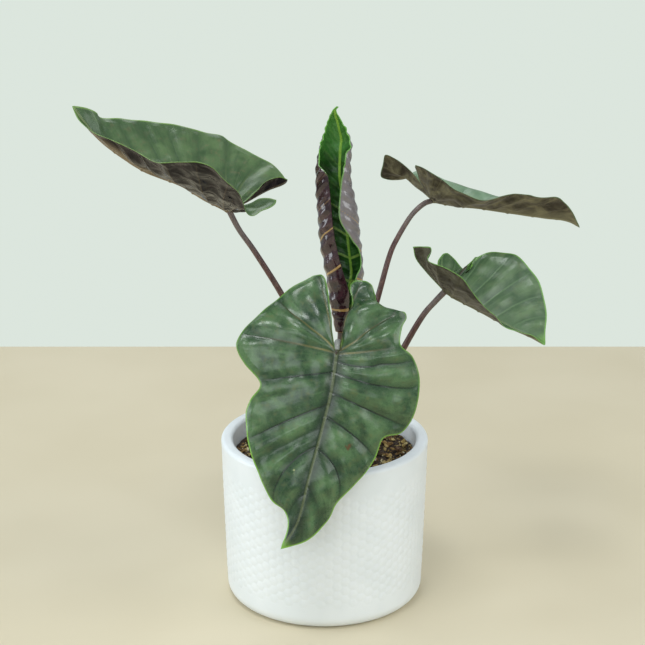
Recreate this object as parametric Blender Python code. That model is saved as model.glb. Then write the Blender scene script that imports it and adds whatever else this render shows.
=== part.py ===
"""Potted alocasia: a young plant with four open leaves and one still rolled, in a round ceramic pot.

Metres, +Z up. The origin is the centre of the pot's flat underside, and the plant's front leaf hangs
over the rim on the -Y side. Everything is at rest: leaves and stems have no joints.
"""

import math
import random

import bmesh
import bpy
import numpy as np

MM = 0.001

# Pot, in millimetres
POT_HEIGHT = 105.0
POT_TOP_RADIUS = 65.0
POT_BOTTOM_RADIUS = 62.0
WALL = 7.5
FLOOR = 8.0
FOOT_ROUNDING = 8.0
RIM_ROUNDING = 2.5
POT_STEPS = 56
MERGE_DISTANCE = 0.00001  # metres

# Soil and crown, in millimetres
SOIL_BELOW_RIM = 12.0
SOIL_CROWNING = 2.5
CROWN_CENTRE = (7.0, 0.0)
CROWN_RADIUS = 9.5
CROWN_ABOVE_SOIL = 4.0
CROWN_DEPTH = 9.0
CROWN_TOP_BEVEL = (0.8, 1.2)
CROWN_WAIST_INSET = 1.5
CROWN_TAPER = 4.0
CROWN_STEPS = 24
GAP = 0.3

# Loose chunks of bark and pumice that lie on the soil
CHUNK_COUNT = 22
CHUNK_SIZE = (3.2, 6.5)
CHUNK_SPACING = 0.62
CHUNK_LENGTH = (1.0, 1.35)
CHUNK_WIDTH = 0.85
CHUNK_HEIGHT = (0.5, 0.75)
CHUNK_UNEVENNESS = 0.78
CHUNK_SUNK = 0.2
CHUNK_CLEARANCE = 0.45
CHUNK_SEED = 11

# Blades, in millimetres, and how finely they are divided
BLADE_THICKNESS = 1.0
RIB_ROWS = 8
MIDRIB_ROWS = 12
ACROSS = 5
FLANK_SLANT = 0.8
WELD_DISTANCE = 0.01

# Stems: the rounding of their section, their points, and how far up their second radius is
STEM_SIDES = 3
STEM_POINTS = 22
STEM_WAIST = 0.3

# Each open leaf. The joint is where the stem meets the blade. Every other point is an offset from it:
# to the right, to the back and up. The halves are the left and right of someone who looks at the
# upper face with the tip away from them. Each half has a rib into its basal lobe, the lobe's inner
# edge along the notch, and its flank from the lobe's end round to the tip. "share" is the part of the
# flank that the lobe's rib serves, and "arch" is how far the half bulges between midrib and edge.
LEAVES = {
    "front": {
        "joint": (7, -52, 177),
        "notch": (0, 2, 3),
        "midrib": [
            (-3, -10, -19), (-8, -19, -38), (-12, -25, -52), (-17, -32, -69),
            (-23, -38, -91), (-33, -41, -107),
        ],
        "right": {
            "rib": [(-3, 5, 13), (-6, 13, 26), (-9, 22, 35.5), (-11, 29, 40.3)],
            "inner": [(-2, 7, 13), (-4, 15, 28), (-6, 24, 37.3), (-8.5, 28, 40.2)],
            "flank": [
                (-14, 29, 39.7), (-18, 28, 37.6), (-32, 24, 29.7), (-44, 16, 22.5),
                (-54, 8, 13.7), (-59, 2, 7), (-58, -1, 1),
                (-54, -4, -5), (-45, -10, -15), (-51, -10, -25), (-54, -12, -34), (-52, -18, -50),
                (-46, -24, -67), (-39, -28, -81), (-31, -32, -87), (-29, -36, -94),
            ],
            "share": 0.36,
            "arch": 3.0,
        },
        "left": {
            "rib": [(3, 6, 12), (7, 14, 22), (12, 24, 30.3), (15, 30, 36.4)],
            "inner": [(3, 5, 8), (7, 12, 17), (9, 20, 26.7), (8, 27, 33.6), (11, 30, 36.2)],
            "flank": [
                (18.5, 30, 35.6), (21.5, 28, 33.5), (23, 26, 29), (25, 22, 24.7),
                (31, 17, 24), (39, 13, 23), (42, 12, 19),
                (39, 8, 14), (38, 0, 6), (45, -2, -1), (49, -4, -12), (49, -6, -22), (46, -8, -35),
                (39, -10, -46), (28, -14, -48), (23, -18, -60), (11, -24, -73), (1, -30, -82),
                (-5, -34, -93), (-18, -39, -103),
            ],
            "share": 0.36,
            "arch": 3.0,
        },
    },
    "left": {
        "joint": (-59, 8, 250),
        "notch": (6, 2, 1),
        "midrib": [(-14, 1, 7), (-28, 2, 15), (-49, 3, 23), (-69, 4, 36), (-82, 5, 48), (-92, 6, 62)],
        "right": {
            "rib": [(10, 12, 1), (23, 23, 6), (32, 32, 8), (35, 36, 9)],
            "inner": [(13, 8, 4), (20, 16, 11), (29, 28, 13)],
            "flank": [
                (32, 42, 12), (25, 46, 18), (12, 50, 24), (0, 52, 30), (-6, 52, 34), (-16, 50, 36),
                (-30, 45, 41), (-49, 38, 46), (-64, 30, 49), (-76, 20, 52), (-79, 14, 56), (-85, 9, 60),
            ],
            "share": 0.38,
            "arch": -4.0,
        },
        "left": {
            "rib": [(10, -11, 2), (19, -17, 6), (26, -20, 10), (30, -21, 11)],
            "inner": [(12, -4, 4), (18, -11, 9), (25, -17, 11)],
            "flank": [
                (29, -24, 9), (22, -29, 7), (16, -35, 6), (12, -40, 14), (7, -44, 24), (0, -47, 32),
                (-6, -48, 38), (-14, -46, 40), (-22, -43, 39), (-34, -35, 37), (-43, -27, 36),
                (-55, -16, 40), (-69, -8, 45), (-81, -1, 49), (-88, 3, 55),
            ],
            "share": 0.36,
            "arch": -5.0,
        },
    },
    "upper": {
        "joint": (69, 45, 246),
        "notch": (-3, 1, 2),
        "midrib": [(13, 1, -3), (28, 2, -5), (47, 2, -8), (67, 1, -11), (84, -1, -13), (92, -3, -17)],
        "left": {
            "rib": [(-9, 8, 5.5), (-18, 14, 10.5), (-26, 16, 15), (-32, 17, 18)],
            "inner": [(-8, 5, 9), (-18, 8, 20), (-26, 9, 25), (-31, 10, 26)],
            "flank": [
                (-33, 20, 11), (-30, 22, 9), (-24, 24, 7.5), (-17, 26, 8),
                (-10, 29, 11), (-1, 35, 8), (10, 39, 3),
                (24, 39, -2), (43, 35, -6), (63, 26, -8), (78, 13, -9), (87, 3, -11),
            ],
            "share": 0.4,
            "arch": -2.0,
        },
        "right": {
            "rib": [(-5, -7, 8), (-8, -13, 16), (-11, -19, 23), (-13, -23, 28)],
            "inner": [(-6, -5, 9), (-10, -11, 16), (-13, -19, 25)],
            "flank": [
                (-9, -27, 27), (-2, -33, 23), (8, -36, 17), (17, -36, 13), (27, -34, 9), (33, -31, 8),
                (40, -28, 10), (49, -25, 11), (56, -23, 10), (62, -21, 8), (74, -17, 7), (80, -12, 2),
                (87, -6, -7),
            ],
            "share": 0.28,
            "arch": -3.0,
        },
    },
    "lower": {
        "joint": (74, -5, 202),
        "notch": (-3, 0, 2),
        "midrib": [(6, -1, -4), (12, -2, -7), (29, -4, -16), (42, -6, -23), (53, -8, -28), (61, -9, -32)],
        "left": {
            "rib": [(-1, 8, 4), (-1, 17, 7), (-1, 25, 11), (0, 31, 14)],
            "inner": [(-3, 9, 5), (-3, 17, 9), (-3, 24, 12)],
            "flank": [
                (3, 32, 14), (7, 30, 11), (11, 23, 8), (14, 18, 8), (18, 21, 11), (22, 26, 14),
                (29, 28, 16), (37, 27, 16), (45, 23, 15), (52, 18, 9), (58, 12, 2), (61, 5, -8),
                (62, -1, -16), (61, -6, -25),
            ],
            "share": 0.25,
            "arch": -2.0,
        },
        "right": {
            "rib": [(-7, -4, 9), (-13, -7, 18), (-17, -10, 26), (-21, -12, 31)],
            "inner": [(-8, -2, 8), (-15, -4, 16), (-19, -7, 24)],
            "flank": [
                (-16, -18, 33), (-11, -23, 34), (-10, -25, 31), (-12, -25, 27), (-9, -28, 26),
                (-3, -33, 25), (7, -34, 19), (13, -32, 11), (19, -28, 2), (27, -22, -8), (37, -16, -19),
                (43, -13, -23), (53, -10, -26),
            ],
            "share": 0.3,
            "arch": -3.0,
        },
    },
}

# The rolled leaf, from its tip down. Each row is a slice through the roll: its height, where its
# middle is to the right and to the back, its half width, and how far the left and right halves wrap
# round from the back, in degrees. At 180 an edge is at the front of the roll.
ROLL = [
    (314.0, 7.6, 0.5, 0.5, 60, 60),
    (311.0, 5.6, 0.5, 1.1, 70, 70),
    (303.0, 6.1, 1.0, 4.8, 80, 80),
    (293.4, 6.7, 1.0, 8.4, 88, 92),
    (287.0, 6.0, 1.0, 9.1, 95, 128),
    (280.0, 5.5, 1.0, 9.6, 115, 140),
    (275.0, 5.3, 1.0, 9.9, 155, 148),
    (267.0, 5.5, 1.0, 10.0, 164, 157),
    (249.0, 7.8, 1.0, 11.6, 163, 176),
    (236.0, 9.1, 1.0, 11.7, 165, 149),
    (221.0, 10.9, 1.0, 11.4, 172, 108),
    (209.0, 12.4, 1.0, 10.8, 182, 146),
    (200.0, 11.8, 1.0, 8.8, 200, 135),
    (191.0, 11.0, 0.5, 6.8, 212, 125),
    (182.0, 10.5, 0.0, 5.0, 216, 120),
    (174.0, 10.2, 0.0, 3.4, 214, 118),
]
ROLL_ROWS = 26
ROLL_ACROSS = 20
ROLL_FLATTENING = 0.9

# Stems from the crown up, with the radius at the foot, at the waist and at the top
STEMS = {
    "front": {
        "path": [
            (7, -6.2, 98), (7.5, -12, 122), (8, -24, 152), (8, -35, 174),
            (8, -41, 180.5), (7.8, -45.5, 181),
            (7.4, -48.3, 177.9),
        ],
        "radii": (2.8, 2.2, 1.7),
    },
    "left": {
        "path": [
            (0.9, -0.6, 98), (-1, 0, 115), (-6, 1.5, 145), (-15, 3, 173), (-27, 5, 197), (-43, 7, 223),
            (-52, 8, 236), (-58.3, 8, 248.6),
        ],
        "radii": (2.8, 2.1, 1.6),
    },
    "upper": {
        "path": [
            (10, 5.4, 98), (14, 6.5, 115), (20, 10, 135), (28, 17, 169), (35, 24, 194), (41, 31, 214),
            (46, 35, 224), (53, 39, 235), (58, 41, 240.5), (63, 43, 244), (67.4, 44.6, 245.1),
        ],
        "radii": (2.8, 2.0, 1.5),
    },
    "lower": {
        "path": [
            (13.1, -1, 98), (22, -2.5, 113), (37, -4, 140), (49, -5, 165), (60, -5, 185), (68, -5, 195),
            (73.2, -5, 200.8),
        ],
        "radii": (2.8, 2.2, 1.7),
    },
    "new": {
        "path": [(7, 0, 98), (7.4, 0, 120), (8.6, 0, 150), (10.2, 0, 172.6), (10.4, 0, 178)],
        "radii": (2.6, 2.4, 2.0),
    },
}


def clear_scene():
    for item in list(bpy.data.objects):
        bpy.data.objects.remove(item, do_unlink=True)


def material(name, colour, roughness, metallic=0.0):
    made = bpy.data.materials.new(name)
    made.use_nodes = True
    shader = made.node_tree.nodes["Principled BSDF"]
    shader.inputs["Base Color"].default_value = (*colour, 1.0)
    shader.inputs["Roughness"].default_value = roughness
    shader.inputs["Metallic"].default_value = metallic
    return made


def add_object(name, data, finish):
    made = bpy.data.objects.new(name, data)
    bpy.context.scene.collection.objects.link(made)
    data.materials.append(finish)
    return made


def along(points, shares):
    """Points on a smooth curve through the given points, at these shares of its length."""
    given = np.array(points, float)
    ends = np.vstack([2 * given[0] - given[1], given, 2 * given[-1] - given[-2]])
    steps = np.linspace(0, 1, 16, endpoint=False)[:, None]
    runs = []
    for before, start, end, after in zip(ends, ends[1:], ends[2:], ends[3:]):
        slope_in = (end - before) / 2
        slope_out = (after - start) / 2
        runs.append(
            (2 * steps**3 - 3 * steps**2 + 1) * start
            + (steps**3 - 2 * steps**2 + steps) * slope_in
            + (3 * steps**2 - 2 * steps**3) * end
            + (steps**3 - steps**2) * slope_out
        )
    line = np.vstack([*runs, given[-1:]])
    length = np.concatenate([[0], np.cumsum(np.linalg.norm(np.diff(line, axis=0), axis=1))])
    return np.stack([np.interp(np.asarray(shares) * length[-1], length, axis) for axis in line.T], axis=1)


def turned(name, profile, finish, steps, centre=(0.0, 0.0)):
    """A body turned from a profile of (radius, height), which runs from its top middle outwards and down."""
    mesh = bpy.data.meshes.new(name)
    points = [(radius * MM, 0, height * MM) for radius, height in profile]
    mesh.from_pydata(points, [(i, i + 1) for i in range(len(points) - 1)], [])
    made = add_object(name, mesh, finish)
    made.location = (centre[0] * MM, centre[1] * MM, 0)
    screw = made.modifiers.new("Turn", "SCREW")
    screw.steps = screw.render_steps = steps
    screw.use_merge_vertices = True
    screw.merge_threshold = MERGE_DISTANCE
    screw.use_smooth_shade = True
    return made


def rounded(centre, radius, start, end, points):
    """A round corner of the profile, between two angles in degrees."""
    angles = np.radians(np.linspace(start, end, points))
    return [(centre[0] + radius * math.cos(a), centre[1] + radius * math.sin(a)) for a in angles]


def inner_radius(height):
    """The radius of the pot's cavity."""
    outer = POT_BOTTOM_RADIUS + (POT_TOP_RADIUS - POT_BOTTOM_RADIUS) * height / POT_HEIGHT
    return outer - WALL


def make_pot(glaze):
    rim = POT_HEIGHT - RIM_ROUNDING
    inner_rim = POT_TOP_RADIUS - WALL
    corner = inner_radius(FLOOR) - FOOT_ROUNDING
    profile = [(0, FLOOR)]
    profile += rounded((corner, FLOOR + FOOT_ROUNDING), FOOT_ROUNDING, -90, 0, 5)
    profile += rounded((inner_rim + RIM_ROUNDING, rim), RIM_ROUNDING, 180, 90, 4)
    profile += rounded((POT_TOP_RADIUS - RIM_ROUNDING, rim), RIM_ROUNDING, 90, 0, 4)
    foot = POT_BOTTOM_RADIUS - FOOT_ROUNDING
    profile += rounded((foot, FOOT_ROUNDING), FOOT_ROUNDING, 0, -90, 6)
    profile += [(0, 0)]
    return turned("pot", profile, glaze, POT_STEPS)


def soil_height(x, y):
    """The soil's surface: level at the wall and a little higher towards the middle."""
    edge = inner_radius(POT_HEIGHT - SOIL_BELOW_RIM)
    share = min(1.0, math.hypot(x, y) / edge)
    return POT_HEIGHT - SOIL_BELOW_RIM + SOIL_CROWNING * (1 - share**2)


def make_soil(earth):
    top = POT_HEIGHT - SOIL_BELOW_RIM
    edge = inner_radius(top) - GAP
    floor = FLOOR + GAP
    corner = inner_radius(FLOOR) - FOOT_ROUNDING
    profile = [(r, soil_height(r, 0)) for r in np.linspace(0, edge, 8)]
    profile += rounded((corner, FLOOR + FOOT_ROUNDING), FOOT_ROUNDING - GAP, 0, -90, 5)
    profile += [(0, floor)]
    soil = turned("soil", profile, earth, POT_STEPS)
    socket = turned("socket_cutter", crown_profile(GAP), earth, CROWN_STEPS, CROWN_CENTRE)
    socket.hide_render = True
    socket.display_type = "WIRE"
    cut = soil.modifiers.new("Socket", "BOOLEAN")
    cut.operation = "DIFFERENCE"
    cut.solver = "EXACT"
    cut.object = socket
    return soil


def crown_top():
    return soil_height(*CROWN_CENTRE) + CROWN_ABOVE_SOIL


def crown_profile(clearance=0.0):
    """The short stem that the stalks grow from, or the larger shape of the socket that it sits in."""
    ground = soil_height(*CROWN_CENTRE)
    radius = CROWN_RADIUS + clearance
    return [
        (0, crown_top() + clearance),
        (radius - CROWN_TOP_BEVEL[0], crown_top() + clearance),
        (radius, crown_top() - CROWN_TOP_BEVEL[1]),
        (radius, ground - 1),
        (radius - CROWN_WAIST_INSET, ground - CROWN_DEPTH * 0.6),
        (radius - CROWN_TAPER, ground - CROWN_DEPTH - clearance),
        (0, ground - CROWN_DEPTH - clearance),
    ]


def make_crown(bark):
    return turned("crown", crown_profile(), bark, CROWN_STEPS, CROWN_CENTRE)


def make_stem(name, stem, finish):
    """A tapered stalk: a curve with a round bevel and closed ends."""
    shares = np.linspace(0, 1, STEM_POINTS)
    points = along(stem["path"], shares)
    points[0, 2] = crown_top() + GAP
    points[1, :2] = points[0, :2]  # the foot stands square on the crown
    radii = np.interp(shares, [0, STEM_WAIST, 1], stem["radii"])
    curve = bpy.data.curves.new("petiole_" + name, "CURVE")
    curve.dimensions = "3D"
    curve.bevel_depth = MM
    curve.bevel_resolution = STEM_SIDES
    curve.use_fill_caps = True
    spline = curve.splines.new("POLY")
    spline.points.add(len(points) - 1)
    for place, point, radius in zip(spline.points, points, radii):
        place.co = (*(point * MM), 1.0)
        place.radius = radius
    spline.use_smooth = True
    return add_object("petiole_" + name, curve, finish)


def half_patches(leaf, half, side):
    """The two grids of points of one half: the blade outside the ribs, and the lobe's inner edge."""
    joint = np.zeros(3)
    tip = leaf["midrib"][-1]
    lobe_end = half["rib"][-1]
    lobe = along([joint, *half["rib"]], np.linspace(0, 1, RIB_ROWS + 1))
    midrib = along([joint, *leaf["midrib"]], np.linspace(0, 1, MIDRIB_ROWS + 1))
    spine = np.vstack([lobe[::-1], midrib[1:]])
    rib_shares = half["share"] * np.linspace(0, 1, RIB_ROWS + 1)
    down_midrib = np.linspace(0, 1, MIDRIB_ROWS + 1)[1:]
    midrib_shares = half["share"] + (1 - half["share"]) * down_midrib**FLANK_SLANT
    flank = along([lobe_end, *half["flank"], tip], np.concatenate([rib_shares, midrib_shares]))
    inner = along([leaf["notch"], *half["inner"], lobe_end], np.linspace(0, 1, RIB_ROWS + 1))
    outer_grid = ruled(spine, flank, half["arch"] * side)
    inner_grid = ruled(lobe, inner, 0.0)
    return outer_grid, inner_grid


def ruled(spine, edge, arch):
    """Rows of points from the spine to the edge, raised between them by the arch."""
    across = np.linspace(0, 1, ACROSS + 1)
    rows = spine[:, None] + (edge - spine)[:, None] * across[None, :, None]
    forward = np.gradient(spine + edge, axis=0)
    outward = edge - spine
    up = np.cross(outward, forward)
    up /= np.maximum(np.linalg.norm(up, axis=1, keepdims=True), 1e-6)
    widest = np.linalg.norm(outward, axis=1).max()
    share = np.linalg.norm(outward, axis=1) / widest
    rise = arch * (share**1.5)[:, None] * (4 * across * (1 - across))[None, :]
    return rows + up[:, None] * rise[:, :, None]


def add_grid(bm, grid, flip):
    """Adds the grid's faces, seen from the blade's upper side."""
    verts = [[bm.verts.new(point * MM) for point in row] for row in grid]
    for row, following in zip(verts, verts[1:]):
        for j in range(len(row) - 1):
            corners = [row[j], row[j + 1], following[j + 1], following[j]]
            bm.faces.new(corners[::-1] if flip else corners)


def add_blade(name, bm, joint, finish):
    """A blade of even thickness from its middle surface."""
    bmesh.ops.remove_doubles(bm, verts=bm.verts, dist=WELD_DISTANCE * MM)
    bmesh.ops.translate(bm, verts=bm.verts, vec=np.array(joint) * MM)
    mesh = bpy.data.meshes.new(name)
    bm.to_mesh(mesh)
    bm.free()
    mesh.shade_smooth()
    made = add_object(name, mesh, finish)
    solid = made.modifiers.new("Thickness", "SOLIDIFY")
    solid.thickness = BLADE_THICKNESS * MM
    solid.offset = 0.0
    return made


def make_open_blade(name, leaf, finish):
    bm = bmesh.new()
    for side in ("right", "left"):
        sign = 1 if side == "right" else -1
        for grid in half_patches(leaf, leaf[side], sign):
            add_grid(bm, grid, flip=side == "left")
    return add_blade("blade_" + name, bm, leaf["joint"], finish)


def make_rolled_blade(finish):
    """The youngest leaf, with its upper face inside the roll."""
    slices = along(ROLL, np.linspace(0, 1, ROLL_ROWS + 1))
    rows = []
    for height, right, back, half_width, left_wrap, right_wrap in slices:
        angles = np.radians(np.linspace(-left_wrap, right_wrap, ROLL_ACROSS + 1))
        across = right + half_width * np.sin(angles)
        depth = back + ROLL_FLATTENING * half_width * np.cos(angles)
        rows.append(np.stack([across, depth, np.full_like(across, height)], axis=1))
    bm = bmesh.new()
    add_grid(bm, np.array(rows), flip=True)
    return add_blade("blade_new", bm, (0, 0, 0), finish)


def chunk_places(chooser):
    """Places for the chunks, clear of each other, of the crown and of the wall."""
    reach = inner_radius(POT_HEIGHT - SOIL_BELOW_RIM)
    places = []
    while len(places) < CHUNK_COUNT:
        size = chooser.uniform(*CHUNK_SIZE)
        angle = chooser.uniform(0, 2 * math.pi)
        radius = (reach - size) * math.sqrt(chooser.random())
        x = radius * math.cos(angle)
        y = radius * math.sin(angle)
        crown_distance = math.hypot(x - CROWN_CENTRE[0], y - CROWN_CENTRE[1])
        free = all(math.hypot(x - a, y - b) > CHUNK_SPACING * (size + other) + 1 for a, b, other in places)
        if free and crown_distance > CROWN_RADIUS + size:
            places.append((x, y, size))
    return places


def make_chunk(name, place, chooser, finish):
    """An irregular chip: a ball with its points moved, flattened, and cut level underneath."""
    x, y, size = place
    bm = bmesh.new()
    bmesh.ops.create_icosphere(bm, subdivisions=1, radius=size / 2)
    length = chooser.uniform(*CHUNK_LENGTH)
    height = chooser.uniform(*CHUNK_HEIGHT)
    turn = chooser.uniform(0, math.pi)
    lowest = soil_height(x, y) + GAP + CHUNK_CLEARANCE
    for vert in bm.verts:
        vert.co *= chooser.uniform(CHUNK_UNEVENNESS, 1.0)
        across = vert.co.x * length
        back = vert.co.y * CHUNK_WIDTH
        vert.co.x = across * math.cos(turn) - back * math.sin(turn) + x
        vert.co.y = across * math.sin(turn) + back * math.cos(turn) + y
        vert.co.z = lowest + max(0.0, vert.co.z * height + size * CHUNK_SUNK)
    hull = bmesh.ops.convex_hull(bm, input=bm.verts)
    inside = [item for item in hull["geom_interior"] if isinstance(item, bmesh.types.BMVert)]
    bmesh.ops.delete(bm, geom=inside, context="VERTS")
    loose = [vert for vert in bm.verts if not vert.link_faces]
    bmesh.ops.delete(bm, geom=loose, context="VERTS")
    bmesh.ops.scale(bm, vec=(MM, MM, MM), verts=bm.verts)
    mesh = bpy.data.meshes.new(name)
    bm.to_mesh(mesh)
    bm.free()
    return add_object(name, mesh, finish)


def main():
    clear_scene()
    glaze = material("pot_glaze", (0.86, 0.87, 0.87), 0.42)
    earth = material("soil_mix", (0.09, 0.055, 0.03), 0.95)
    bark = material("chunk_bark", (0.2, 0.11, 0.055), 0.9)
    pumice = material("chunk_pumice", (0.55, 0.46, 0.34), 0.9)
    crown_skin = material("crown_skin", (0.2, 0.13, 0.09), 0.7)
    stalk = material("petiole_skin", (0.12, 0.055, 0.05), 0.45)
    blade = material("blade_skin", (0.045, 0.11, 0.07), 0.4)
    young_blade = material("young_blade_skin", (0.12, 0.06, 0.09), 0.32)

    make_pot(glaze)
    make_soil(earth)
    make_crown(crown_skin)
    for name, stem in STEMS.items():
        make_stem(name, stem, stalk)
    for name, leaf in LEAVES.items():
        make_open_blade(name, leaf, blade)
    make_rolled_blade(young_blade)

    chooser = random.Random(CHUNK_SEED)
    for number, place in enumerate(chunk_places(chooser), start=1):
        finish = pumice if number % 5 == 0 else bark
        make_chunk(f"chunk_{number:02d}", place, chooser, finish)


main()
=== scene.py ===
"""The looks of the potted alocasia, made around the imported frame. Shapes are in millimetres, +Z up.

The blades, stems and pot repeat the CAD's own outlines at a finer step, so they lie where the CAD nodes lie.
"""

import math

import bmesh
import bpy
import numpy as np
from mathutils.kdtree import KDTree
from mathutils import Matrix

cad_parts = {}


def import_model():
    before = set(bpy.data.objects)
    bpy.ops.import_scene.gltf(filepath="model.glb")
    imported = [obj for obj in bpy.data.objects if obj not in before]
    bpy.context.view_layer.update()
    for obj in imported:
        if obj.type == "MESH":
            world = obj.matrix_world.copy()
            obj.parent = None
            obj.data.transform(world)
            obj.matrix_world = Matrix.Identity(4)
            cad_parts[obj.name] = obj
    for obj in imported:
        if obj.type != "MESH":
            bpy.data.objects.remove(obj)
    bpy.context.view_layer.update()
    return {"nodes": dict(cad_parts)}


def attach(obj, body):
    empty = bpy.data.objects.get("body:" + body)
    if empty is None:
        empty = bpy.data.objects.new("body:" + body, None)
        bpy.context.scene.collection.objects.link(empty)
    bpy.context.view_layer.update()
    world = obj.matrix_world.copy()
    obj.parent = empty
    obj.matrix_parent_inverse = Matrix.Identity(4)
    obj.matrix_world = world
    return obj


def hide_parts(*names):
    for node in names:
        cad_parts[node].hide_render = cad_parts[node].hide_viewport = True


MM = 0.001

# Pot, in millimetres
POT_HEIGHT = 105.0
POT_TOP_RADIUS = 65.0
POT_BOTTOM_RADIUS = 62.0
WALL = 7.5
FLOOR = 8.0
FOOT_ROUNDING = 8.0
RIM_ROUNDING = 2.5
CELLS_ROUND = 78
CELL_HEIGHT = 6.0
CELL_DEPTH = 0.32
CELL_BAND = (15.0, 90.0)
STEPS_PER_CELL = 10

# Soil and crown, in millimetres
SOIL_LEVEL = POT_HEIGHT - 12.0
SOIL_DEPTH = 6.0  # only the top layer, because the rest is out of sight in the pot
SOIL_CROWNING = 2.5
CROWN_CENTRE = (7.0, 0.0)
CROWN_RADIUS = 9.5
CROWN_ABOVE_SOIL = 4.0
GRAIN_COUNT = 1700
GRAIN_SIZE = (1.0, 4.2)
GRAIN_SEED = 5
GRAIN_COLOURS = [
    (0.0, (0.05, 0.028, 0.010)), (0.15, (0.16, 0.085, 0.026)), (0.4, (0.34, 0.20, 0.06)),
    (0.7, (0.48, 0.34, 0.11)), (0.92, (0.62, 0.52, 0.25)), (1.0, (0.80, 0.74, 0.55)),
]
CHUNK_CUTS = 5
PUMICE_EVERY = 5

# Blades, in millimetres
BLADE_THICKNESS = 0.55
CELL = 0.5
VEIN_REACH = 0.95
VEIN_POINTS = 260
MIDRIB_POINTS = 600
LOBE_STRANDS = (20, 26)  # strand numbers along a lobe's inner edge, clear of those of the side veins

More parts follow.
